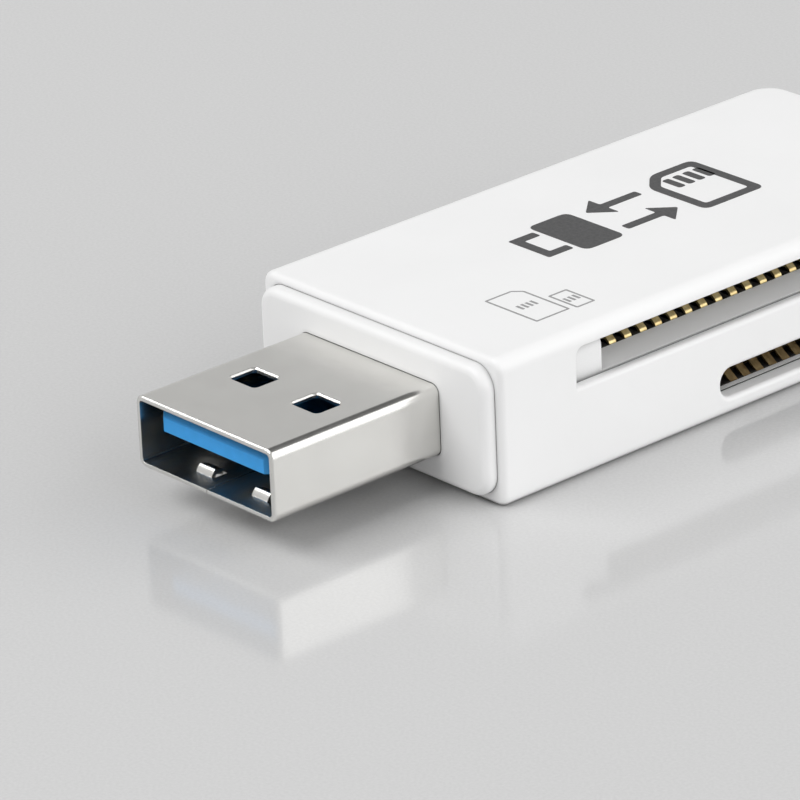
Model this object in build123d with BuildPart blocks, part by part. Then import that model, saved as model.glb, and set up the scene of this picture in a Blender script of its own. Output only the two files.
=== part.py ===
from build123d import *
import os

os.makedirs("parts", exist_ok=True)

# The reader lies on its wide face: plug towards -Y, card slots on +X, origin under the sleeve's middle.
# All sizes are in millimetres.

# Housing sleeve
body_length = 42.4
body_width = 20.7
body_height = 9.2
wall = 0.75
rear_wall = 1.2
top_edge_radius = 0.85
bottom_edge_radius = 0.65
rear_corner_radius = 2.0
rim_radius = 0.45
cavity_corner_radius = 1.2
lip_radius = 0.3
lip_groove_width = 0.19
lip_groove_depth = 0.4
rebate_depth = 0.25
rebate_length = 1.0

# Front collar, a push fit in the sleeve's mouth
collar_proud = 0.85
collar_depth = 4.1
collar_plate = 1.9
collar_wall = 1.0
collar_edge_radius = 0.52
collar_seam = 0.025
catch_height = 3.0
catch_length = 1.0
catch_rise = 0.25
catch_setback = 2.6
catch_clearance = 0.12

# Plug shell, folded from sheet steel
plug_width = 12.0
plug_height = 4.5
plug_sheet = 0.3
plug_bend_radius = 0.55
plug_reach = 12.65
plug_seat = 6.0
plug_rise = 2.25
plug_seam = 0.06
mouth_edge = 0.09
plug_hole_clearance = 0.025
window_width = 2.25
window_length = 1.95
window_radius = 0.25
window_setback = 5.25
window_spacing = 5.4
window_edge = 0.1
tab_width = 1.35
tab_length = 0.95
tab_lift = 0.22
tab_crest = 0.44
tab_crest_setback = 0.32
tab_swell = 0.04
tab_setback = 1.26
tab_slit = 0.14
tab_spacing = 4.9
tab_offset = 0.72
ear_length = 2.4
ear_height = 1.9

# Blue tongue and its rear block
tongue_width = 9.3
tongue_setback = 0.67
tongue_level = 2.4
tongue_chamfer = 0.87
tongue_end_chamfer = 0.25
saddle_floor = 0.45
saddle_front_margin = 0.3
saddle_rear_margin = 2.4
cavity_depth = 11.9
insulator_clearance = 0.05

# Plug contacts
plug_contact_places = (-3.5, -1.0, 1.0, 3.5)
plug_contact_width = 1.0
plug_contact_sheet = 0.25
plug_contact_setback = 1.6
plug_contact_inner_setback = 1.0
plug_contact_tail = 1.6
fast_contact_count = 5
fast_contact_pitch = 2.0
fast_contact_width = 0.7
fast_contact_sheet = 0.2
fast_contact_knee = 0.8
fast_contact_knee_drop = 0.22
fast_contact_bump = 1.8
fast_contact_bump_drop = 0.45
fast_contact_reach = 2.6
fast_contact_tip_drop = 0.15

# Circuit board
board_sheet = 0.8
board_clearance = 0.1
stake_radius = 0.65
stake_proud = 0.3

# Card frame, a push fit inside the sleeve
frame_clearance = 0.08
frame_end_clearance = 0.1
frame_wall = 0.8
frame_arch_clearance = 0.2
boss_size = 2.4
boss_height = 1.6

# Full-size card slot
large_card_width = 24.0
large_side_clearance = 0.3
large_slot_setback = 8.72
large_notch_margin = 2.8
large_notch_height = 2.5
large_notch_radius = 0.6
large_deck_depth = 2.37
large_deck_height = 1.06
large_stop_depth = 7.8
large_contact_count = 9
large_contact_pitch = 2.5
large_first_contact = 2.72
large_finger_width = 0.55
large_finger_pitch = 1.25
large_finger_sheet = 0.2
large_finger_room = 0.1
large_block_depth = 6.9
large_block_drop = 0.05
large_block_floor = 0.3
large_block_fit = 0.05
large_root_length = 1.55
large_root_height = 0.4
large_tail = 0.8
large_bump_setback = 0.6
large_bump_rise = 0.12
large_nose_setback = 0.38
large_nose_drop = 0.05
large_tip_setback = 0.2
large_tip_drop = 0.4

# Micro card slot and socket
micro_card_width = 11.0
micro_side_clearance = 0.2
micro_slot_width = 12.0
micro_slot_height = 1.85
micro_slot_radius = 0.85
micro_slot_setback = 17.6
micro_floor = 0.3
micro_rail = 0.9
micro_depth = 14.0
micro_back_wall = 0.8
micro_room = 1.75
micro_cover_sheet = 0.2
micro_cover_ledge = 0.4
micro_cover_leg = 1.2
micro_fit = 0.1
micro_contact_count = 8
micro_contact_pitch = 1.1
micro_first_contact = 2.7
micro_contact_width = 0.6
micro_contact_sheet = 0.15
micro_bump_depth = 0.8
micro_bump_rise = 0.55
micro_bump_half = 0.75
micro_tail = 0.9

# Components under the board, ahead of the micro card's socket and behind it
component_gap = 1.0
chip_size = 6.0
chip_height = 0.85
chip_mark_radius = 0.35
chip_mark_depth = 0.08
crystal_size = (3.2, 2.5, 0.7)
crystal_lid_inset = 0.3
crystal_lid = 0.1
crystal_x = -3.4
regulator_size = (1.6, 2.9, 1.1)
regulator_lead = 0.6
regulator_lead_width = 0.4
regulator_lead_sheet = 0.15
regulator_lead_spacing = 0.95
regulator_x = 0.4
capacitor_size = (0.8, 1.6, 0.8)
capacitor_spacing = 3.2
resistor_size = (1.6, 0.8, 0.45)
resistor_places = (3.4, 5.8)

# Half-width of the band in which an edge counts as lying on a plane
touch = 0.001

# Places that follow from the sizes
front_y = -body_length / 2
rear_y = body_length / 2
side_x = body_width / 2
mid_z = body_height / 2
cavity_x = side_x - wall
cavity_top = body_height - wall
cavity_height = body_height - 2 * wall
collar_y = front_y - collar_proud
collar_rear_y = front_y + collar_depth
plug_tip_y = collar_y - plug_reach
plug_rear_y = collar_y + plug_seat
plug_z = plug_rise + plug_height / 2
plug_top = plug_rise + plug_height
plug_floor_z = plug_rise + plug_sheet
plug_inner_x = plug_width / 2 - plug_sheet
tongue_z = plug_rise + tongue_level
insulator_x = plug_inner_x - insulator_clearance
insulator_top = plug_rise + plug_height - plug_sheet - insulator_clearance
block_front_y = plug_tip_y + cavity_depth
fast_contact_places = [
    (i - (fast_contact_count - 1) / 2) * fast_contact_pitch for i in range(fast_contact_count)
]
board_top = tongue_z
board_bottom = board_top - board_sheet
frame_x = cavity_x - frame_clearance
frame_inner_x = frame_x - frame_wall
frame_bottom = wall + frame_end_clearance
frame_top = cavity_top - frame_end_clearance
frame_front_y = collar_rear_y + frame_end_clearance
frame_rear_y = rear_y - rear_wall - frame_end_clearance
frame_mid_y = (frame_front_y + frame_rear_y) / 2
frame_length = frame_rear_y - frame_front_y
board_x = frame_inner_x - board_clearance
board_front_y = plug_rear_y + board_clearance
board_shoulder_y = plug_rear_y + ear_length + board_clearance
board_rear_y = frame_rear_y - frame_wall - board_clearance
stake_x = frame_inner_x - boss_size / 2
stake_rear_y = frame_rear_y - frame_wall - boss_size / 2
stake_front_y = board_shoulder_y + boss_size / 2
stake_places = ((-stake_x, stake_front_y), (-stake_x, stake_rear_y), (stake_x, stake_rear_y))
large_slot_width = large_card_width + 2 * large_side_clearance
large_near_y = front_y + large_slot_setback
large_far_y = large_near_y + large_slot_width
large_mid_y = large_near_y + large_slot_width / 2
large_floor_z = board_top + large_deck_height
large_deck_x = frame_x - large_deck_depth
large_stop_x = frame_x - large_stop_depth
large_block_x = large_deck_x - large_block_fit
large_block_rear_x = large_block_x - large_block_depth
large_block_top = large_floor_z - large_block_drop
large_root_z = board_top + large_root_height
large_root_x = large_block_rear_x + large_root_length
large_contact_places = [
    large_near_y + large_first_contact + i * large_contact_pitch for i in range(large_contact_count)
]
micro_near_y = front_y + micro_slot_setback
micro_mid_y = micro_near_y + micro_slot_width / 2
micro_far_y = micro_near_y + micro_slot_width
micro_floor_z = frame_bottom + micro_floor
micro_slot_z = micro_floor_z + micro_slot_height / 2
micro_x = frame_inner_x - micro_fit
micro_rear_x = micro_x - micro_depth
micro_mouth = micro_card_width + 2 * micro_side_clearance
micro_outer_width = micro_mouth + 2 * micro_rail
micro_cover_z = micro_floor_z + micro_room
micro_cover_width = micro_mouth + 2 * micro_cover_ledge
micro_contact_places = [
    micro_near_y + micro_first_contact + i * micro_contact_pitch for i in range(micro_contact_count)
]
chip_y = micro_mid_y - micro_outer_width / 2 - component_gap - chip_size / 2
rear_row_y = micro_mid_y + micro_outer_width / 2 + component_gap
capacitor_x = chip_size / 2 + component_gap + capacitor_size[0] / 2


def cross_section(y):
    """The plane across the reader at y, facing the plug's end."""
    return Plane.XZ.offset(-y)


def plug_contact_start(place):
    """Where a flat contact begins: the inner pair starts further back than the outer pair."""
    inner = abs(place) < max(plug_contact_places)
    return plug_tip_y + plug_contact_setback + (plug_contact_inner_setback if inner else 0)


def save(piece, name):
    """Label a finished piece and write it as one STEP file."""
    piece.label = name
    export_step(piece, f"parts/{name}.step")


# Housing sleeve: a one-piece moulded sleeve, rounded along its edges and closed at the rear
with BuildPart() as sleeve:
    with BuildSketch() as plan:
        Rectangle(body_width, body_length)
        fillet(plan.vertices().group_by(Axis.Y)[-1], rear_corner_radius)
    extrude(amount=body_height)
    top_edges = sleeve.faces().sort_by(Axis.Z)[-1].edges().sort_by(Axis.Y)[1:]
    fillet(top_edges, top_edge_radius)
    bottom_edges = sleeve.faces().sort_by(Axis.Z)[0].edges().sort_by(Axis.Y)[1:]
    fillet(bottom_edges, bottom_edge_radius)
    fillet(sleeve.faces().sort_by(Axis.Y)[0].edges(), rim_radius)
    # The cavity, open at the front
    with BuildSketch(cross_section(front_y)):
        with Locations((0, mid_z)):
            RectangleRounded(2 * cavity_x, cavity_height, cavity_corner_radius)
    extrude(amount=-(body_length - rear_wall), mode=Mode.SUBTRACT)
    # The rebate round the mouth, which the collar's flange seats in
    with BuildSketch(cross_section(front_y)):
        with Locations((0, mid_z)):
            RectangleRounded(
                2 * (cavity_x + rebate_depth),
                cavity_height + 2 * rebate_depth,
                cavity_corner_radius + rebate_depth,
            )
    extrude(amount=-rebate_length, mode=Mode.SUBTRACT)
    # The large card's notch, rounded at its upper corners
    with BuildSketch(Plane.YZ.offset(side_x)) as notch:
        with Locations((large_mid_y, large_floor_z + large_notch_height / 2)):
            Rectangle(large_slot_width + 2 * large_notch_margin, large_notch_height)
        fillet(notch.vertices().group_by(Axis.Y)[-1], large_notch_radius)
    extrude(amount=-(wall + cavity_corner_radius), mode=Mode.SUBTRACT)
    # The groove behind the notch's lower lip
    with BuildSketch(Plane.XY.offset(large_floor_z)):
        with Locations((cavity_x, large_mid_y)):
            Rectangle(
                lip_groove_width,
                large_slot_width + 2 * large_notch_margin,
                align=(Align.MIN, Align.CENTER),
            )
    extrude(amount=-lip_groove_depth, mode=Mode.SUBTRACT)
    # The micro card's slot
    with BuildSketch(Plane.YZ.offset(side_x)):
        with Locations((micro_mid_y, micro_slot_z)):
            RectangleRounded(micro_slot_width, micro_slot_height, micro_slot_radius)
    extrude(amount=-(wall + cavity_corner_radius), mode=Mode.SUBTRACT)
    # Pockets that the collar's catches click into
    with Locations((-cavity_x, front_y + catch_setback, mid_z), (cavity_x, front_y + catch_setback, mid_z)):
        Box(
            2 * (catch_rise + catch_clearance),
            catch_length + 2 * catch_clearance,
            catch_height + 2 * catch_clearance,
            mode=Mode.SUBTRACT,
        )
    # Softened outer edges of both slots: the notch's lower lip and all round the micro card's slot
    side_edges = sleeve.edges().filter_by_position(Axis.X, side_x - touch, side_x + touch)
    notch_lip = side_edges.filter_by_position(Axis.Z, large_floor_z - touch, large_floor_z + touch)
    fillet(notch_lip, lip_radius)
    side_edges = sleeve.edges().filter_by_position(Axis.X, side_x - touch, side_x + touch)
    slot_low = micro_slot_z - micro_slot_height / 2 - touch
    slot_high = micro_slot_z + micro_slot_height / 2 + touch
    slot_rim = side_edges.filter_by_position(Axis.Z, slot_low, slot_high)
    slot_rim = slot_rim.filter_by_position(Axis.Y, micro_near_y - touch, micro_far_y + touch)
    fillet(slot_rim, lip_radius)
save(sleeve.part, "housing_sleeve")

# Front collar: a moulded end plate with a skirt behind it, a hole for the plug and a catch on each side
with BuildPart() as collar:
    flange_edge = rebate_depth - collar_seam
    with BuildSketch(cross_section(collar_y)):
        with Locations((0, mid_z)):
            RectangleRounded(
                2 * (cavity_x + flange_edge),
                cavity_height + 2 * flange_edge,
                cavity_corner_radius + flange_edge,
            )
    extrude(amount=-(collar_proud + rebate_length))
    fillet(collar.faces().sort_by(Axis.Y)[0].edges(), collar_edge_radius)
    with BuildSketch(cross_section(front_y + rebate_length)):
        with Locations((0, mid_z)):
            RectangleRounded(
                2 * (cavity_x - collar_seam),
                cavity_height - 2 * collar_seam,
                cavity_corner_radius - collar_seam,
            )
    extrude(amount=-(collar_depth - rebate_length))
    with BuildSketch(cross_section(collar_rear_y)):
        with Locations((0, mid_z)):
            Rectangle(
                2 * (cavity_x - collar_seam - collar_wall),
                cavity_height - 2 * (collar_seam + collar_wall),
            )
    extrude(amount=collar_depth + collar_proud - collar_plate, mode=Mode.SUBTRACT)
    with BuildSketch(cross_section(collar_y)):
        with Locations((0, plug_z)):
            RectangleRounded(
                plug_width + 2 * plug_hole_clearance,
                plug_height + 2 * plug_hole_clearance,
                plug_bend_radius + plug_hole_clearance,
            )
    extrude(amount=-(collar_proud + collar_depth), mode=Mode.SUBTRACT)
    catch_y = front_y + catch_setback
    for side in (-1, 1):
        skirt_x = side * (cavity_x - collar_seam)
        with BuildSketch(Plane.XY.offset(mid_z)):
            with BuildLine():
                Polyline(
                    (skirt_x, catch_y - catch_length / 2),
                    (skirt_x + side * (collar_seam + catch_rise), catch_y - catch_length / 2),
                    (skirt_x, catch_y + catch_length / 2),
                    close=True,
                )
            make_face()
        extrude(amount=catch_height / 2, both=True)
save(collar.part, "front_collar")

# Card frame: a moulded ring inside the sleeve, with the large card's deck, guides and end stop
with BuildPart() as frame:
    with BuildSketch(cross_section(frame_front_y)):
        with Locations((0, mid_z)):
            RectangleRounded(2 * frame_x, frame_top - frame_bottom, cavity_corner_radius - frame_clearance)
    extrude(amount=-frame_length)
    with BuildSketch(Plane.XY.offset(frame_bottom)):
        with Locations((0, frame_mid_y)):
            Rectangle(2 * frame_inner_x, frame_length - 2 * frame_wall)
    extrude(amount=frame_top - frame_bottom, mode=Mode.SUBTRACT)
    # Bosses in the corners, standing on the board
    with BuildSketch(Plane.XY.offset(board_top)):
        with Locations(*stake_places):
            Rectangle(boss_size, boss_size)
    extrude(amount=boss_height)
    # Guides on both sides of the card, standing on the board too
    guide_places = (
        (frame_inner_x, large_near_y - frame_wall / 2),
        (frame_inner_x, large_far_y + frame_wall / 2),
    )
    with BuildSketch(Plane.XY.offset(board_top)):
        with Locations(*guide_places):
            Rectangle(
                frame_inner_x - large_stop_x + frame_wall,
                frame_wall,
                align=(Align.MAX, Align.CENTER),
            )
    extrude(amount=frame_top - board_top)
    # The end stop, a bar that bridges the contact block
    with BuildSketch(Plane.XY.offset(large_floor_z)):
        with Locations((large_stop_x - frame_wall / 2, large_mid_y)):
            Rectangle(frame_wall, large_slot_width + 2 * frame_wall)
    extrude(amount=frame_top - large_floor_z)
    # The deck that the card slides in over
    with BuildSketch(Plane.XY.offset(board_top)):
        with Locations(((large_deck_x + frame_inner_x) / 2, large_mid_y)):
            Rectangle(frame_inner_x - large_deck_x, large_slot_width)
    extrude(amount=large_deck_height)
    # The card's way in, open to the top
    with BuildSketch(Plane.XY.offset(large_floor_z)):
        with Locations(((large_deck_x + frame_x) / 2, large_mid_y)):
            Rectangle(large_deck_depth, large_slot_width)
    extrude(amount=frame_top - large_floor_z, mode=Mode.SUBTRACT)
    # The micro card's window
    with BuildSketch(Plane.YZ.offset(frame_x)):
        with Locations((micro_mid_y, micro_slot_z)):
            RectangleRounded(micro_slot_width, micro_slot_height, micro_slot_radius)
    extrude(amount=-frame_wall, mode=Mode.SUBTRACT)
    # The arch over the plug, open below
    arch_top = plug_rise + plug_height + frame_arch_clearance
    with BuildSketch(cross_section(frame_front_y)):
        with Locations((0, (frame_bottom + arch_top) / 2)):
            Rectangle(plug_width + 2 * frame_arch_clearance, arch_top - frame_bottom)
    extrude(amount=-frame_wall, mode=Mode.SUBTRACT)
    # Stakes that pass through the board
    with BuildSketch(Plane.XY.offset(board_top)):
        with Locations(*stake_places):
            Circle(stake_radius)
    extrude(amount=-(board_sheet + stake_proud))
save(frame.part, "card_frame")

# Circuit board: a plain laminate that narrows between the plug's ears
with BuildPart() as board:
    with BuildSketch(Plane.XY.offset(board_bottom)):
        with Locations((0, (board_shoulder_y + board_rear_y) / 2)):
            Rectangle(2 * board_x, board_rear_y - board_shoulder_y)
        with Locations((0, (board_front_y + board_shoulder_y) / 2)):
            Rectangle(2 * insulator_x, board_shoulder_y - board_front_y)
        with Locations(*stake_places):
            Circle(stake_radius + board_clearance, mode=Mode.SUBTRACT)
    extrude(amount=board_sheet)
save(board.part, "circuit_board")

# Plug shell: sheet steel folded to a tube, with a butt seam below, four windows, two tabs and two ears
with BuildPart() as shell:
    with BuildSketch(cross_section(plug_tip_y)):
        with Locations((0, plug_z)):
            RectangleRounded(plug_width, plug_height, plug_bend_radius)
            RectangleRounded(
                plug_width - 2 * plug_sheet,
                plug_height - 2 * plug_sheet,
                plug_bend_radius - plug_sheet,
                mode=Mode.SUBTRACT,
            )
    extrude(amount=-(plug_reach + plug_seat))
    mouth = shell.faces().sort_by(Axis.Y)[0]
    chamfer(mouth.outer_wire().edges(), mouth_edge)
    # Windows above and below, with coined edges
    with BuildSketch(Plane.XY.offset(plug_rise)):
        with Locations((0, plug_tip_y + window_setback + window_length / 2)):
            with GridLocations(window_spacing, 1, 2, 1):
                RectangleRounded(window_width, window_length, window_radius)
    extrude(amount=plug_height, mode=Mode.SUBTRACT)
    window_front = plug_tip_y + window_setback - touch
    window_back = plug_tip_y + window_setback + window_length + touch
    window_rims = shell.edges().filter_by_position(Axis.Y, window_front, window_back)
    for face_z in (plug_rise, plug_top):
        chamfer(window_rims.filter_by_position(Axis.Z, face_z - touch, face_z + touch), window_edge)
    # Lanced tabs, hinged at the front and rounded up to a crest
    hinge_y = plug_tip_y + tab_setback
    with BuildSketch(Plane.XY.offset(plug_rise)):
        with Locations((tab_offset, hinge_y + (tab_length + tab_slit) / 2)):
            with GridLocations(tab_spacing, 1, 2, 1):
                Rectangle(tab_width + 2 * tab_slit, tab_length + tab_slit)
    extrude(amount=plug_sheet, mode=Mode.SUBTRACT)
    for tab_x in (tab_offset - tab_spacing / 2, tab_offset + tab_spacing / 2):
        with BuildSketch(Plane.YZ.offset(tab_x)):
            with BuildLine():
                root = Line((hinge_y - plug_sheet, plug_floor_z), (hinge_y, plug_floor_z))
                crest = (hinge_y + tab_crest_setback, plug_floor_z + tab_crest)
                nose = SagittaArc(root @ 1, crest, tab_swell)
                Line(nose @ 1, (hinge_y + tab_length, plug_floor_z + tab_lift))
                offset(amount=plug_sheet, side=Side.RIGHT)
            make_face()
        extrude(amount=tab_width / 2, both=True)
    # The butt seam along the underside
    with BuildSketch(Plane.XY.offset(plug_rise)):
        with Locations((0, (plug_tip_y + plug_rear_y) / 2)):
            Rectangle(plug_seam, plug_reach + plug_seat)
    extrude(amount=plug_sheet, mode=Mode.SUBTRACT)
    # Ears that hold the board's front between them
    ear_z = (board_top + board_bottom) / 2
    for side in (-1, 1):
        with Locations((side * (plug_width - plug_sheet) / 2, plug_rear_y, ear_z)):
            Box(plug_sheet, ear_length, ear_height, align=(Align.CENTER, Align.MIN, Align.CENTER))
save(shell.part, "plug_shell")

# Blue insulator: a tongue in the plug's upper half, moulded with the block that fills the shell's rear
with BuildPart() as insulator:
    tongue_y = plug_tip_y + tongue_setback
    with BuildSketch(Plane.YZ):
        with BuildLine():
            Polyline(
                (tongue_y, tongue_z),
                (block_front_y, tongue_z),
                (block_front_y, insulator_top),
                (tongue_y + tongue_chamfer, insulator_top),
                (tongue_y, insulator_top - tongue_chamfer),
                close=True,
            )
        make_face()
    extrude(amount=tongue_width / 2, both=True)
    tongue_ends = insulator.faces().sort_by(Axis.Y)[0].edges().filter_by(Axis.Z)
    chamfer(tongue_ends, tongue_end_chamfer)
    # The saddle across the tongue below the shell's windows
    saddle_y = plug_tip_y + window_setback - saddle_front_margin
    with BuildSketch(Plane.XY.offset(tongue_z + saddle_floor)):
        with Locations((0, saddle_y)):
            Rectangle(
                tongue_width,
                saddle_front_margin + window_length + saddle_rear_margin,
                align=(Align.CENTER, Align.MIN),
            )
    extrude(amount=plug_height, mode=Mode.SUBTRACT)
    with BuildSketch(cross_section(block_front_y)):
        with Locations((0, (plug_floor_z + insulator_clearance + insulator_top) / 2)):
            RectangleRounded(
                2 * insulator_x,
                insulator_top - plug_floor_z - insulator_clearance,
                plug_bend_radius - plug_sheet,
            )
    extrude(amount=-(plug_rear_y - block_front_y))
    # Grooves for the flat contacts
    for place in plug_contact_places:
        start_y = plug_contact_start(place)
        with Locations((place, start_y, tongue_z)):
            Box(
                plug_contact_width,
                plug_rear_y - start_y,
                plug_contact_sheet,
                align=(Align.CENTER, Align.MIN, Align.MIN),
                mode=Mode.SUBTRACT,
            )
    # Passages for the sprung contacts
    for place in fast_contact_places:
        with Locations((place, block_front_y, board_bottom - fast_contact_sheet)):
            Box(
                fast_contact_width,
                plug_rear_y - block_front_y,
                fast_contact_sheet,
                align=(Align.CENTER, Align.MIN, Align.MIN),
                mode=Mode.SUBTRACT,
            )
save(insulator.part, "plug_insulator")

# Flat contacts along the tongue's underside, with their tails on the board's upper face
for index, place in enumerate(plug_contact_places):
    start_y = plug_contact_start(place)
    with BuildPart() as plug_contact:
        with Locations((place, start_y, tongue_z)):
            Box(
                plug_contact_width,
                board_front_y + plug_contact_tail - start_y,
                plug_contact_sheet,
                align=(Align.CENTER, Align.MIN, Align.MIN),
            )
    save(plug_contact.part, f"plug_contact_{index + 1}")

# Sprung contacts ahead of the rear block, with their tails on the board's lower face
for index, place in enumerate(fast_contact_places):
    with BuildPart() as fast_contact:
        with BuildSketch(Plane.YZ.offset(place)):
            with BuildLine():
                Polyline(
                    (board_front_y + plug_contact_tail, board_bottom),
                    (block_front_y - fast_contact_sheet, board_bottom),
                    (block_front_y - fast_contact_knee, tongue_z - fast_contact_knee_drop),
                    (block_front_y - fast_contact_bump, tongue_z - fast_contact_bump_drop),
                    (block_front_y - fast_contact_reach, tongue_z - fast_contact_tip_drop),
                )
                offset(amount=fast_contact_sheet, side=Side.LEFT)
            make_face()
        extrude(amount=fast_contact_width / 2, both=True)
    save(fast_contact.part, f"fast_contact_{index + 1}")

# Contact block of the large slot: a moulded comb with one channel for each spring finger
with BuildPart() as large_block:
    with BuildSketch(Plane.XY.offset(board_top)):
        with Locations(((large_block_rear_x + large_block_x) / 2, large_mid_y)):
            Rectangle(large_block_depth, large_slot_width - 2 * large_block_fit)
    extrude(amount=large_block_top - board_top)
    with BuildSketch(Plane.XY.offset(board_top + large_block_floor)):
        for place in large_contact_places:
            with Locations(((large_root_x + large_block_x) / 2, place)):
                with GridLocations(1, large_finger_pitch, 1, 2):
                    Rectangle(large_block_x - large_root_x, large_finger_width + 2 * large_finger_room)
    extrude(amount=large_block_top - board_top - large_block_floor, mode=Mode.SUBTRACT)
    # Slots that grip the springs' roots
    with BuildSketch(Plane.XY.offset(large_root_z)):
        for place in large_contact_places:
            with Locations(((large_block_rear_x + large_root_x) / 2, place)):
                Rectangle(large_root_length, large_finger_pitch + large_finger_width)
    extrude(amount=large_finger_sheet, mode=Mode.SUBTRACT)
save(large_block.part, "large_contact_block")

# Forked springs of the large slot: tail on the board, root in the block, two fingers that reach the mouth
for index, place in enumerate(large_contact_places):
    with BuildPart() as large_contact:
        with BuildSketch(cross_section(place)):
            with BuildLine():
                Polyline(
                    (large_block_rear_x - large_root_height - large_tail, board_top),
                    (large_block_rear_x - large_root_height, board_top),
                    (large_block_rear_x - large_finger_sheet, large_root_z),
                    (large_root_x, large_root_z),
                    (large_block_x - large_bump_setback, large_floor_z + large_bump_rise),
                    (large_block_x - large_nose_setback, large_floor_z - large_nose_drop),
                    (large_block_x - large_tip_setback, large_floor_z - large_tip_drop),
                )
                offset(amount=large_finger_sheet, side=Side.LEFT)
            make_face()
        extrude(amount=(large_finger_pitch + large_finger_width) / 2, both=True)
        with BuildSketch(Plane.XY.offset(board_top)):
            with Locations((large_root_x, place)):
                Rectangle(
                    large_block_depth,
                    large_finger_pitch - large_finger_width,
                    align=(Align.MIN, Align.CENTER),
                )
        extrude(amount=frame_top - board_top, mode=Mode.SUBTRACT)
    save(large_contact.part, f"large_contact_{index + 1}")

# Body of the micro card's socket: a moulded floor with a rail on each side and a wall at the back
with BuildPart() as micro_body:
    with BuildSketch(Plane.XY.offset(frame_bottom)):
        with Locations(((micro_rear_x + micro_x) / 2, micro_mid_y)):
            Rectangle(micro_depth, micro_outer_width)
    extrude(amount=board_bottom - frame_bottom)
    with BuildSketch(Plane.XY.offset(micro_floor_z)):
        with Locations((micro_x, micro_mid_y)):
            Rectangle(micro_depth - micro_back_wall, micro_mouth, align=(Align.MAX, Align.CENTER))
    extrude(amount=board_bottom - micro_floor_z, mode=Mode.SUBTRACT)
    with BuildSketch(Plane.XY.offset(micro_cover_z)):
        with Locations((micro_x, micro_mid_y)):
            Rectangle(
                micro_depth - micro_back_wall,
                micro_cover_width,
                align=(Align.MAX, Align.CENTER),
            )
    extrude(amount=board_bottom - micro_cover_z, mode=Mode.SUBTRACT)
    # Grooves that the springs lie in
    with BuildSketch(Plane.XY.offset(micro_floor_z)):
        for place in micro_contact_places:
            with Locations((micro_x, place)):
                Rectangle(micro_depth, micro_contact_width, align=(Align.MAX, Align.CENTER))
    extrude(amount=-micro_contact_sheet, mode=Mode.SUBTRACT)
save(micro_body.part, "micro_socket_body")

# Sheet steel cover of the micro card's socket, on the rails' ledges, with four legs up to the board
with BuildPart() as micro_cover:
    cover_length = micro_depth - micro_back_wall - 2 * micro_fit
    cover_half = micro_cover_width / 2 - micro_fit / 2
    cover_mid_x = micro_x - micro_fit - cover_length / 2
    with BuildSketch(Plane.XY.offset(micro_cover_z)):
        with Locations((cover_mid_x, micro_mid_y)):
            Rectangle(cover_length, 2 * cover_half)
    extrude(amount=micro_cover_sheet)
    with BuildSketch(Plane.XY.offset(micro_cover_z)):
        with Locations((cover_mid_x, micro_mid_y)):
            with GridLocations(cover_length - micro_cover_leg, 2 * cover_half - micro_cover_sheet, 2, 2):
                Rectangle(micro_cover_leg, micro_cover_sheet)
    extrude(amount=board_bottom - micro_cover_z)
save(micro_cover.part, "micro_socket_cover")

# Springs of the micro card's socket: flat on the floor, raised where they touch, turned up to the board
for index, place in enumerate(micro_contact_places):
    with BuildPart() as micro_contact:
        bump_x = micro_x - micro_bump_depth
        riser_x = micro_rear_x - micro_fit
        with BuildSketch(cross_section(place)):
            with BuildLine():
                Polyline(
                    (micro_x, micro_floor_z),
                    (bump_x + micro_bump_half, micro_floor_z),
                    (bump_x, micro_floor_z + micro_bump_rise),
                    (bump_x - micro_bump_half, micro_floor_z),
                    (riser_x, micro_floor_z),
                    (riser_x, board_bottom),
                    (riser_x - micro_tail, board_bottom),
                )
                offset(amount=micro_contact_sheet, side=Side.LEFT)
            make_face()
        extrude(amount=micro_contact_width / 2, both=True)
    save(micro_contact.part, f"micro_contact_{index + 1}")

# Controller chip: a leadless square package with a mark at its first pad
with BuildPart() as controller:
    with Locations((0, chip_y, board_bottom)):
        Box(chip_size, chip_size, chip_height, align=(Align.CENTER, Align.CENTER, Align.MAX))
    mark = chip_size / 2 - 2 * chip_mark_radius
    with Locations((-mark, chip_y + mark, board_bottom - chip_height)):
        Cylinder(
            chip_mark_radius,
            chip_mark_depth,
            align=(Align.CENTER, Align.CENTER, Align.MIN),
            mode=Mode.SUBTRACT,
        )
save(controller.part, "controller_chip")

# Clock crystal: a ceramic tray with a seam-welded lid
with BuildPart() as crystal:
    crystal_y = rear_row_y + crystal_size[1] / 2
    with Locations((crystal_x, crystal_y, board_bottom)):
        Box(*crystal_size, align=(Align.CENTER, Align.CENTER, Align.MAX))
    with Locations((crystal_x, crystal_y, board_bottom - crystal_size[2])):
        Box(
            crystal_size[0] - 2 * crystal_lid_inset,
            crystal_size[1] - 2 * crystal_lid_inset,
            crystal_lid,
            align=(Align.CENTER, Align.CENTER, Align.MAX),
        )
save(crystal.part, "clock_crystal")

# Voltage regulator: a small moulded package with two leads on one side and one on the other
with BuildPart() as regulator:
    regulator_y = rear_row_y + regulator_size[1] / 2
    with Locations((regulator_x, regulator_y, board_bottom)):
        Box(*regulator_size, align=(Align.CENTER, Align.CENTER, Align.MAX))
    lead_reach = regulator_size[0] / 2 + regulator_lead / 2
    lead_places = (
        (regulator_x - lead_reach, regulator_y - regulator_lead_spacing),
        (regulator_x - lead_reach, regulator_y + regulator_lead_spacing),
        (regulator_x + lead_reach, regulator_y),
    )
    with BuildSketch(Plane.XY.offset(board_bottom)):
        with Locations(*lead_places):
            Rectangle(regulator_lead, regulator_lead_width)
    extrude(amount=-regulator_lead_sheet)
save(regulator.part, "voltage_regulator")

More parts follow.
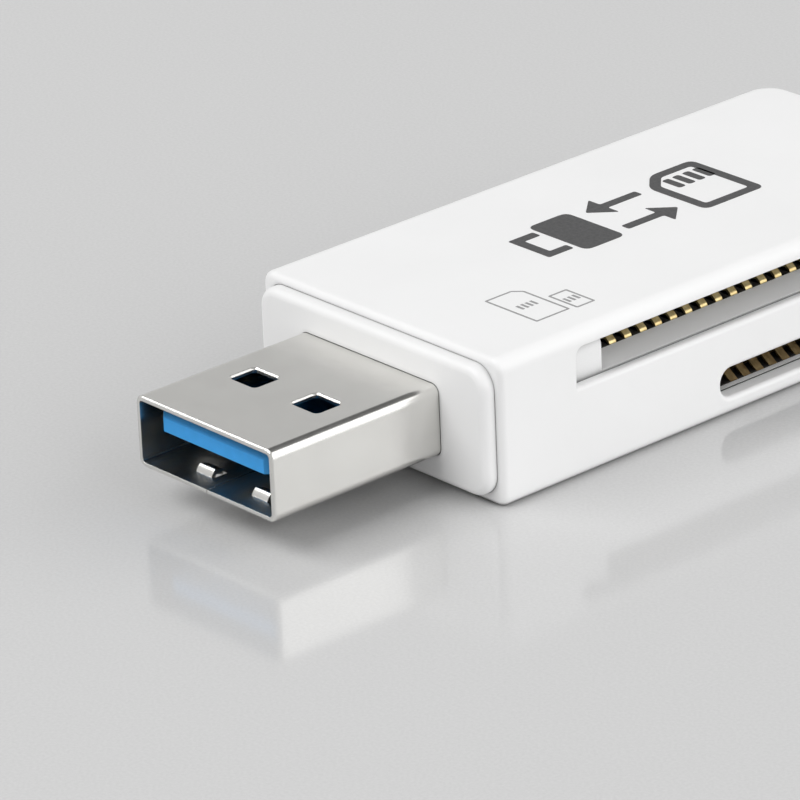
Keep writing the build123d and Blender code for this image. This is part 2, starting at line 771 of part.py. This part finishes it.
# Chip capacitors, two on each side of the controller
capacitor_places = [
    (side * capacitor_x, chip_y + end * capacitor_spacing / 2) for side in (-1, 1) for end in (-1, 1)
]
for index, place in enumerate(capacitor_places):
    with BuildPart() as capacitor:
        with Locations((*place, board_bottom)):
            Box(*capacitor_size, align=(Align.CENTER, Align.CENTER, Align.MAX))
    save(capacitor.part, f"chip_capacitor_{index + 1}")

# Chip resistors, in the rear row
for index, place in enumerate(resistor_places):
    with BuildPart() as resistor:
        with Locations((place, rear_row_y + resistor_size[1] / 2, board_bottom)):
            Box(*resistor_size, align=(Align.CENTER, Align.CENTER, Align.MAX))
    save(resistor.part, f"chip_resistor_{index + 1}")
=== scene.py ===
import math

import bpy
from mathutils import Matrix, Vector


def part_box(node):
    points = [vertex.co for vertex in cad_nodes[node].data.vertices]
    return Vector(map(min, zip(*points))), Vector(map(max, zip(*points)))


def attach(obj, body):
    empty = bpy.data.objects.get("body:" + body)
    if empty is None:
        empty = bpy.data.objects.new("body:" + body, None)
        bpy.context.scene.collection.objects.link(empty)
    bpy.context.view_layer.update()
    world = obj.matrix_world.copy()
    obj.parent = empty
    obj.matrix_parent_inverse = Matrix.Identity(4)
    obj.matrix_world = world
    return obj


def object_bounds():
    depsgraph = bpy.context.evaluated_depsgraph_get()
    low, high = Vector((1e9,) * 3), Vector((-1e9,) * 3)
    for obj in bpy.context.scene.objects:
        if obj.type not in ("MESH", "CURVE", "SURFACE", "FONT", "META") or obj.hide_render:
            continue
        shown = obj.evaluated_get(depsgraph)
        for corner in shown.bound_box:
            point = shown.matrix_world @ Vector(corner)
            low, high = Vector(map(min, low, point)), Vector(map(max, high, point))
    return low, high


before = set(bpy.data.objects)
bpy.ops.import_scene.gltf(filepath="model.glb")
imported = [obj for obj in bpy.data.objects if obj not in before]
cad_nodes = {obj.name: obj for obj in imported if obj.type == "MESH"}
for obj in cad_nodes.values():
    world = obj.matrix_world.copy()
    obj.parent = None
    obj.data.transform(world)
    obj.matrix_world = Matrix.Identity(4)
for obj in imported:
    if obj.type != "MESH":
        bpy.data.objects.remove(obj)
cad_low, cad_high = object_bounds()

# Circuit board
# A thin glass-fibre laminate under green solder mask. It is staked to the card frame, carries every
# socket and component, and reaches forward between the plug's two ears.
MM = 0.001


def shader_of(material):
    return material.node_tree.nodes["Principled BSDF"]


def new_finish(name, colour, roughness, metallic=0.0):
    """A finish with its plain colour and gloss set on the shader itself."""
    material = bpy.data.materials.new(name)
    material.use_nodes = True
    shader = shader_of(material)
    shader.inputs["Base Color"].default_value = (*colour, 1.0)
    shader.inputs["Roughness"].default_value = roughness
    shader.inputs["Metallic"].default_value = metallic
    return material


def grain(material, per_mm, detail=2.0, stretch=(1.0, 1.0, 1.0)):
    """A noise pattern fixed to the piece, with so many grains to the millimetre along each axis."""
    tree = material.node_tree
    place = tree.nodes.new("ShaderNodeTexCoord")
    scale = tree.nodes.new("ShaderNodeMapping")
    scale.inputs["Scale"].default_value = [per_mm / MM * share for share in stretch]
    noise = tree.nodes.new("ShaderNodeTexNoise")
    noise.inputs["Scale"].default_value = 1.0
    noise.inputs["Detail"].default_value = detail
    tree.links.new(place.outputs["Object"], scale.inputs["Vector"])
    tree.links.new(scale.outputs["Vector"], noise.inputs["Vector"])
    return noise.outputs["Fac"]


def spread(material, pattern, low, high, pattern_low=0.3, pattern_high=0.7):
    """A part of the pattern's range, by default its middle, stretched to run from low to high."""
    tree = material.node_tree
    stretch = tree.nodes.new("ShaderNodeMapRange")
    stretch.inputs["From Min"].default_value = pattern_low
    stretch.inputs["From Max"].default_value = pattern_high
    stretch.inputs["To Min"].default_value = low
    stretch.inputs["To Max"].default_value = high
    tree.links.new(pattern, stretch.inputs["Value"])
    return stretch.outputs["Result"]


def uneven_gloss(material, pattern, low, high):
    """Roughness that wanders between two values with the pattern."""
    gloss = spread(material, pattern, low, high)
    material.node_tree.links.new(gloss, shader_of(material).inputs["Roughness"])


def uneven_colour(material, pattern, dark, light):
    """Colour that wanders between two values with the pattern."""
    tree = material.node_tree
    blend = tree.nodes.new("ShaderNodeMix")
    blend.data_type = "RGBA"
    blend.inputs["A"].default_value = (*dark, 1.0)
    blend.inputs["B"].default_value = (*light, 1.0)
    tree.links.new(spread(material, pattern, 0.0, 1.0), blend.inputs["Factor"])
    tree.links.new(blend.outputs["Result"], shader_of(material).inputs["Base Color"])


def fine_relief(material, pattern, height, edge=0.0, edge_rays=6):
    """Tiny relief from the pattern, and edges that look rounded over so many millimetres."""
    tree = material.node_tree
    relief = tree.nodes.new("ShaderNodeBump")
    relief.inputs["Distance"].default_value = height * MM
    tree.links.new(pattern, relief.inputs["Height"])
    if edge:
        soft_edge = tree.nodes.new("ShaderNodeBevel")
        soft_edge.samples = edge_rays
        soft_edge.inputs["Radius"].default_value = edge * MM
        tree.links.new(soft_edge.outputs["Normal"], relief.inputs["Normal"])
    tree.links.new(relief.outputs["Normal"], shader_of(material).inputs["Normal"])


def dress(material, *names):
    """Give CAD nodes this finish."""
    for name in names:
        cad_nodes[name].data.materials.clear()
        cad_nodes[name].data.materials.append(material)


mask_green = (0.010, 0.105, 0.050)
mask_light = (0.018, 0.150, 0.075)
laminate = new_finish("solder_mask_green", mask_green, 0.35)
uneven_colour(laminate, grain(laminate, 1.6, stretch=(1.0, 0.25, 1.0)), mask_green, mask_light)
uneven_gloss(laminate, grain(laminate, 5.0), 0.28, 0.42)
fine_relief(laminate, grain(laminate, 3.0), 0.01, edge=0.04)
dress(laminate, "circuit_board")

# Components under the board
# Moulded epoxy packages, a plated crystal can and fired ceramic chips. Each is placed by machine
# and soldered by its pads to the board's lower face.


def numbered(stem):
    """The nodes of one numbered family, in order."""
    return sorted(name for name in cad_nodes if name.rpartition("_")[0] == stem and name[-1].isdigit())


epoxy_black = (0.020, 0.020, 0.022)
epoxy = new_finish("moulded_epoxy", epoxy_black, 0.6)
uneven_gloss(epoxy, grain(epoxy, 6.0), 0.5, 0.7)
fine_relief(epoxy, grain(epoxy, 14.0), 0.006, edge=0.04)
dress(epoxy, "controller_chip", "voltage_regulator")

can_plating = (0.70, 0.69, 0.66)
crystal_can = new_finish("plated_can", can_plating, 0.3, metallic=1.0)
uneven_gloss(crystal_can, grain(crystal_can, 4.0), 0.24, 0.38)
fine_relief(crystal_can, grain(crystal_can, 9.0), 0.002, edge=0.05)
dress(crystal_can, "clock_crystal")

for stem, clay, fired in (
    ("chip_capacitor", (0.30, 0.20, 0.12), (0.42, 0.30, 0.19)),
    ("chip_resistor", (0.020, 0.020, 0.022), (0.050, 0.050, 0.055)),
):
    ceramic = new_finish(stem + "_ceramic", fired, 0.5)
    uneven_colour(ceramic, grain(ceramic, 5.0), clay, fired)
    uneven_gloss(ceramic, grain(ceramic, 8.0), 0.4, 0.6)
    fine_relief(ceramic, grain(ceramic, 10.0), 0.004, edge=0.05)
    dress(ceramic, *numbered(stem))

# Micro card socket
# A black moulded floor and rails under the board, closed by a folded tin-plated steel cover. The
# body is soldered down by the cover's four legs.
socket_black = (0.014, 0.013, 0.012)
black_moulding = new_finish("black_moulding", socket_black, 0.5)
uneven_gloss(black_moulding, grain(black_moulding, 5.0), 0.42, 0.6)
fine_relief(black_moulding, grain(black_moulding, 12.0), 0.004, edge=0.04)
dress(black_moulding, "micro_socket_body")

tin_grey = (0.66, 0.65, 0.62)
tinned_steel = new_finish("tinned_steel", tin_grey, 0.35, metallic=1.0)
uneven_gloss(tinned_steel, grain(tinned_steel, 3.0, stretch=(0.2, 3.0, 1.0)), 0.28, 0.45)
fine_relief(tinned_steel, grain(tinned_steel, 8.0), 0.002, edge=0.04)
dress(tinned_steel, "micro_socket_cover")

# Card contacts
# Springs stamped from thin copper alloy: plain bronze strips on the micro socket's floor, and forked
# fingers flashed with gold in the black moulded comb behind the large slot's deck.


def painted_corner_shade(material, reach, deep, open_out, shade, rays=8):
    """Painted shade: colour that sinks to a share of itself in gaps and corners closer than the reach, in
    millimetres.
    """
    tree = material.node_tree
    colour = shader_of(material).inputs["Base Color"]
    plain_colour = colour.links[0].from_socket
    openness = tree.nodes.new("ShaderNodeAmbientOcclusion")
    openness.samples = rays
    openness.inputs["Distance"].default_value = reach * MM
    level = spread(material, openness.outputs["AO"], shade, 1.0, pattern_low=deep, pattern_high=open_out)
    painted_shade = tree.nodes.new("ShaderNodeVectorMath")
    painted_shade.operation = "SCALE"
    tree.links.new(plain_colour, painted_shade.inputs[0])
    tree.links.new(level, painted_shade.inputs["Scale"])
    tree.links.new(painted_shade.outputs["Vector"], colour)


bronze_deep = (0.30, 0.21, 0.10)
bronze_bright = (0.42, 0.31, 0.16)
bronze = new_finish("spring_bronze", bronze_bright, 0.4, metallic=1.0)
uneven_colour(bronze, grain(bronze, 3.0), bronze_deep, bronze_bright)
uneven_gloss(bronze, grain(bronze, 6.0), 0.36, 0.5)
fine_relief(bronze, grain(bronze, 12.0), 0.002, edge=0.04)
dress(bronze, *numbered("micro_contact"))

gilt_deep = (0.68, 0.52, 0.24)
gilt_bright = (0.84, 0.71, 0.38)
gilt = new_finish("gold_flash", gilt_bright, 0.28, metallic=1.0)
uneven_colour(gilt, grain(gilt, 3.0), gilt_deep, gilt_bright)
uneven_gloss(gilt, grain(gilt, 6.0), 0.34, 0.48)
fine_relief(gilt, grain(gilt, 12.0), 0.002, edge=0.04)
# Painted shade: the gold darkens where it lies in gaps or under overhangs, such as the fingers' rear parts.
painted_corner_shade(gilt, 1.2, deep=0.2, open_out=0.75, shade=0.2)
dress(gilt, *numbered("large_contact"))
dress(black_moulding, "large_contact_block")

# Plug tongue
# Semi-gloss blue nylon, moulded in one with the block that fills the shell's rear. The flat gilt contacts
# lie in its lower face and the sprung ones come out of the block.
tongue_deep = (0.018, 0.310, 0.735)
tongue_bright = (0.024, 0.335, 0.790)
tongue_blue = new_finish("blue_nylon", tongue_bright, 0.34)
uneven_colour(tongue_blue, grain(tongue_blue, 1.5), tongue_deep, tongue_bright)
uneven_gloss(tongue_blue, grain(tongue_blue, 6.0), 0.28, 0.4)
fine_relief(tongue_blue, grain(tongue_blue, 10.0), 0.003, edge=0.08)
# Painted shade: the blue darkens to near black deep in gaps, such as the saddle under the windows and the
# chamfer.
painted_corner_shade(tongue_blue, 3.0, deep=0.15, open_out=0.6, shade=0.1)
dress(tongue_blue, "plug_insulator")
dress(gilt, *numbered("plug_contact"), *numbered("fast_contact"))

# Plug shell
# Thin steel strip, pierced, lanced and folded to a tube, then plated with satin nickel. The plating
# rounds the cut edges and leaves a faint pebbled surface. Deep in the mouth its colour carries painted
# shade.
nickel_deep = (0.75, 0.742, 0.715)
nickel_bright = (0.78, 0.772, 0.745)
nickel = new_finish("satin_nickel", nickel_bright, 0.26, metallic=1.0)
uneven_colour(nickel, grain(nickel, 0.5), nickel_deep, nickel_bright)
uneven_gloss(nickel, grain(nickel, 1.0), 0.23, 0.27)
fine_relief(nickel, grain(nickel, 6.0, detail=1.0), 0.0002, edge=0.07)
painted_corner_shade(nickel, 4.0, deep=0.15, open_out=0.42, shade=0.25)
dress(nickel, "plug_shell")

# White mouldings
# The sleeve, the collar that closes its mouth and the card frame inside are satin white ABS. The
# collar clicks into the sleeve and leaves a fine seam, and the frame is pushed in before it.
shell_white = (0.86, 0.86, 0.86)
shell_shade = (0.84, 0.84, 0.84)
# Painted shade: each white finish darkens in seams, recesses and corners within its reach in millimetres,
# the card frame's over a longer reach.
for name, painted_shade_reach, pieces in (
    ("satin_white_abs", 0.5, ("housing_sleeve", "front_collar")),
    ("inner_white_abs", 2.2, ("card_frame",)),
):
    white_abs = new_finish(name, shell_white, 0.42)
    uneven_colour(white_abs, grain(white_abs, 0.12), shell_shade, shell_white)
    uneven_gloss(white_abs, grain(white_abs, 3.0), 0.38, 0.48)
    fine_relief(white_abs, grain(white_abs, 9.0), 0.0012, edge=0.06)
    painted_corner_shade(white_abs, painted_shade_reach, deep=0.1, open_out=0.8, shade=0.3)
    dress(white_abs, *pieces)

# Print on the top face
# Pad-printed ink, about a hundredth of a millimetre thick: a card, a pair of arrows and a plug in dark
# grey, and two small card outlines with bars near the plug's end in light grey.
ink_film = 0.012
top_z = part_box("housing_sleeve")[1].z
print_middle = Vector((-0.8, 0.0))


def rounded(corners, radius, steps=6, longest_share=0.45):
    """A closed outline through the corners, each cut back and rounded by a curve."""
    outline = []
    count = len(corners)
    for i, corner in enumerate(corners):
        here = Vector(corner)
        before = Vector(corners[i - 1]) - here
        after = Vector(corners[(i + 1) % count]) - here
        reach = min(radius, before.length * longest_share, after.length * longest_share)
        first = here + before.normalized() * reach
        last = here + after.normalized() * reach
        for step in range(steps + 1):
            t = step / steps
            outline.append((first * (1 - t) ** 2 + here * (2 * t * (1 - t)) + last * t ** 2).to_tuple())
    return outline


def printed(name, outlines, middle, ink):
    """A film of ink on the top face. Each outline reads along +Y with its upper side towards -X."""
    curve = bpy.data.curves.new(name, "CURVE")
    curve.dimensions = "2D"
    curve.fill_mode = "BOTH"
    curve.extrude = ink_film * MM / 2
    for outline in outlines:
        line = curve.splines.new("POLY")
        line.points.add(len(outline) - 1)
        for point, (along, up) in zip(line.points, outline):
            point.co = ((middle.x - up) * MM, (middle.y + along) * MM, 0.0, 1.0)
        line.use_cyclic_u = True
    drawn = bpy.data.objects.new(name + "_drawing", curve)
    bpy.context.scene.collection.objects.link(drawn)
    bpy.context.view_layer.update()
    mesh = bpy.data.meshes.new_from_object(drawn.evaluated_get(bpy.context.evaluated_depsgraph_get()))
    bpy.data.objects.remove(drawn)
    film = bpy.data.objects.new(name, mesh)
    film.location.z = top_z + ink_film * MM / 2
    bpy.context.scene.collection.objects.link(film)
    mesh.materials.clear()
    mesh.materials.append(ink)
    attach(film, "root")


def grown(corners, by):
    """The corners of a convex outline, moved out by so much (in, if negative)."""
    moved = []
    count = len(corners)
    for i, corner in enumerate(corners):
        here = Vector(corner)
        along_in = (here - Vector(corners[i - 1])).normalized()
        along_out = (Vector(corners[(i + 1) % count]) - here).normalized()
        out_in = Vector((along_in.y, -along_in.x))
        out_out = Vector((along_out.y, -along_out.x))
        moved.append((here + (out_in + out_out) * (by / (1 + out_in.dot(out_out)))).to_tuple())
    return moved


def box_corners(low_x, low_y, high_x, high_y):
    return [(low_x, low_y), (high_x, low_y), (high_x, high_y), (low_x, high_y)]


def shifted(outline, along, up=0.0):
    return [(x + along, y + up) for x, y in outline]


dark_grey = (0.065, 0.065, 0.065)
dark_grey_thick = (0.055, 0.055, 0.056)
dark_grey_thin = (0.080, 0.080, 0.081)
dark_ink = new_finish("dark_grey_ink", dark_grey, 0.5)
uneven_colour(dark_ink, grain(dark_ink, 4.0), dark_grey_thick, dark_grey_thin)
uneven_gloss(dark_ink, grain(dark_ink, 8.0), 0.42, 0.6)
fine_relief(dark_ink, grain(dark_ink, 9.0), 0.001)

stroke = 0.7
card_place = 5.6
card_half_length = 2.5
card_half_height = 3.2
card_clip = 1.5
card_corner = 0.6
card_inner_corner = 0.25
card_outline = [
    (-card_half_length, -card_half_height),
    (card_half_length, -card_half_height),
    (card_half_length, card_half_height),
    (-card_half_length + card_clip, card_half_height),
    (-card_half_length, card_half_height - card_clip),
]
card_hole = grown(card_outline, -stroke)
card_lines = [rounded(card_outline, card_corner), rounded(card_hole, card_inner_corner)]
printed("print_card", [shifted(line, card_place) for line in card_lines], print_middle, dark_ink)

bar_count = 4
bar_pitch = 0.85
bar_lift = 1.25
bar_corner = 0.2
bar_half_width = 0.28
bar_half_height = 0.8
bar_box = box_corners(-bar_half_width, -bar_half_height, bar_half_width, bar_half_height)
bar = rounded(bar_box, bar_corner)
for index in range(bar_count):
    bar_place = card_place + (index - 1) * bar_pitch
    printed(f"print_card_bar_{index + 1}", [shifted(bar, bar_place, bar_lift)], print_middle, dark_ink)

arrow_half = 2.2
arrow_head = 1.5
arrow_head_half = 1.35
arrow_corner = 0.18
arrow_lift = 1.7
arrow = [
    (-arrow_half, 0.0),
    (-arrow_half + arrow_head, -arrow_head_half),
    (-arrow_half + arrow_head, -stroke / 2),
    (arrow_half, -stroke / 2),
    (arrow_half, stroke / 2),
    (-arrow_half + arrow_head, stroke / 2),
    (-arrow_half + arrow_head, arrow_head_half),
]
turned = [(-x, -y) for x, y in arrow]
for name, outline, lift in (
    ("print_arrow_to_plug", arrow, arrow_lift),
    ("print_arrow_to_card", turned, -arrow_lift),
):
    printed(name, [shifted(rounded(outline, arrow_corner), 0.0, lift)], print_middle, dark_ink)

plug_place = -5.6
plug_front = -0.6
plug_rear = 2.6
plug_half = 2.6
plug_corner = 0.6
plug_body = rounded(box_corners(plug_front, -plug_half, plug_rear, plug_half), plug_corner)
printed("print_plug_body", [shifted(plug_body, plug_place)], print_middle, dark_ink)

nose_root = -0.9
nose_tip = -2.9
nose_half = 1.8
nose_corner = 0.15
plug_nose = [
    (nose_root, -nose_half),
    (nose_root, stroke - nose_half),
    (nose_tip + stroke, stroke - nose_half),
    (nose_tip + stroke, nose_half - stroke),
    (nose_root, nose_half - stroke),
    (nose_root, nose_half),
    (nose_tip, nose_half),
    (nose_tip, -nose_half),
]
printed("print_plug_nose", [shifted(rounded(plug_nose, nose_corner), plug_place)], print_middle, dark_ink)

light_grey = (0.30, 0.30, 0.30)
light_grey_thick = (0.26, 0.26, 0.26)
light_grey_thin = (0.34, 0.34, 0.34)
light_ink = new_finish("light_grey_ink", light_grey, 0.5)
uneven_colour(light_ink, grain(light_ink, 6.0), light_grey_thick, light_grey_thin)
uneven_gloss(light_ink, grain(light_ink, 8.0), 0.42, 0.6)
fine_relief(light_ink, grain(light_ink, 9.0), 0.001)

hairline = 0.13
small_clip = 0.55
small_corner = 0.12
small_inner_corner = 0.08
small_bar_pitch = 0.36
small_bar_half_width = 0.09
small_bar_half_height = 0.32
small_bar = box_corners(
    -small_bar_half_width, -small_bar_half_height, small_bar_half_width, small_bar_half_height
)
for kind, length, height, clip, bars, middle in (
    ("large", 2.65, 4.48, small_clip, 4, Vector((5.34, -14.36))),
    ("micro", 1.47, 2.5, 0.0, 3, Vector((6.52, -11.92))),
):
    x = length / 2
    y = height / 2
    corners = box_corners(-x, -y, x, y)
    if clip:
        corners[2:3] = [(x, y - clip), (x - clip, y)]
    lines = [rounded(corners, small_corner), rounded(grown(corners, -hairline), small_inner_corner)]
    printed(f"print_{kind}_card_outline", lines, middle, light_ink)
    first = -small_bar_pitch * (bars - 1) / 2
    rows = [shifted(small_bar, first + small_bar_pitch * i) for i in range(bars)]
    printed(f"print_{kind}_card_bars", rows, middle, light_ink)

# Floor and light
# A plain pale table with a slight polish, a large soft lamp on the slots' side and one high in front on the
# left, in a room with pale walls, a dark band above them and a pale ceiling.
floor_size = 6.0
floor_gap = 0.012
half = floor_size / 2
floor_mesh = bpy.data.meshes.new("pale_floor")
floor_mesh.from_pydata(
    [(-half, -half, 0), (half, -half, 0), (half, half, 0), (-half, half, 0)], [], [(0, 1, 2, 3)]
)
floor = bpy.data.objects.new("pale_floor", floor_mesh)
bpy.context.scene.collection.objects.link(floor)
floor.location.z = cad_low.z - floor_gap * MM
floor_grey = (0.59, 0.59, 0.59)
floor_shade = (0.57, 0.57, 0.57)
floor_pale = (0.61, 0.61, 0.61)
polish = new_finish("pale_polished_floor", floor_grey, 0.11)
uneven_colour(polish, grain(polish, 5.0), floor_shade, floor_pale)
fine_relief(polish, grain(polish, 4.0), 0.0015)
floor_mesh.materials.append(polish)

body_middle = (cad_low + cad_high) / 2
lamp_distance = 1.2


def lamp(name, azimuth, elevation, width, height, watts):
    """A broad lamp facing the reader. Azimuth 0 is on the plug's side, 90 on the slots'."""
    data = bpy.data.lights.new(name, "AREA")
    data.shape = "RECTANGLE"
    data.size = width
    data.size_y = height
    data.energy = watts
    body = bpy.data.objects.new(name, data)
    a = math.radians(azimuth)
    e = math.radians(elevation)
    away = Vector((math.sin(a) * math.cos(e), -math.cos(a) * math.cos(e), math.sin(e)))
    body.location = body_middle + away * lamp_distance
    body.rotation_euler = away.to_track_quat("Z", "Y").to_euler()
    body.visible_camera = False
    bpy.context.scene.collection.objects.link(body)


lamp("right_lamp", azimuth=115, elevation=24, width=2.2, height=1.3, watts=15.2)
lamp("front_left_lamp", azimuth=-28, elevation=50, width=1.2, height=0.5, watts=10.2)

world = bpy.data.worlds.new("studio_walls")
bpy.context.scene.world = world
world.use_nodes = True
walls = world.node_tree
sky = walls.nodes["Background"]
sky.inputs["Strength"].default_value = 1.0
direction = walls.nodes.new("ShaderNodeTexCoord")
height_of = walls.nodes.new("ShaderNodeSeparateXYZ")
levels = walls.nodes.new("ShaderNodeValToRGB")
walls.links.new(direction.outputs["Generated"], height_of.inputs["Vector"])
walls.links.new(height_of.outputs["Z"], levels.inputs["Fac"])
walls.links.new(levels.outputs["Color"], sky.inputs["Color"])
wall_level = 0.65
wall_top = 0.50
band_level = 0.08
band_foot = 0.60
band_top = 0.82
ceiling_level = 0.48
ceiling_foot = 0.88
stops = levels.color_ramp.elements
stops[0].position = wall_top
stops[0].color = (wall_level, wall_level, wall_level, 1.0)
stops[1].position = band_foot
stops[1].color = (band_level, band_level, band_level, 1.0)
for height_share, level in ((band_top, band_level), (ceiling_foot, ceiling_level)):
    stops.new(height_share).color = (level, level, level, 1.0)
bpy.context.scene.view_settings.view_transform = "Standard"

# Camera
# A long lens on the plug's side, a little above the table and slightly rolled, so that the plug points
# out of the picture to the left and the far end runs off to the right.
azimuth = math.radians(49.02)
elevation = math.radians(23.587)
roll = math.radians(-2.49)
distance = 352.66
aim = Vector((3.782, -23.084, 5.528))
focal_pixels = 6124.0
picture_pixels = 800.0

back = Vector(
    (math.sin(azimuth) * math.cos(elevation), -math.cos(azimuth) * math.cos(elevation), math.sin(elevation))
)
level_right = Vector((math.cos(azimuth), math.sin(azimuth), 0.0))
upright = back.cross(level_right)
right = level_right * math.cos(roll) + upright * math.sin(roll)
up = upright * math.cos(roll) - level_right * math.sin(roll)
lens = bpy.data.cameras.new("long_lens")
lens.sensor_width = 36.0
lens.lens = lens.sensor_width * focal_pixels / picture_pixels
lens.clip_start = 0.01
lens.clip_end = 20.0
camera = bpy.data.objects.new("long_lens", lens)
bpy.context.scene.collection.objects.link(camera)
turn = Matrix((right, up, back)).transposed().to_4x4()
camera.matrix_world = Matrix.Translation((aim + back * distance) * MM) @ turn
bpy.context.scene.camera = camera
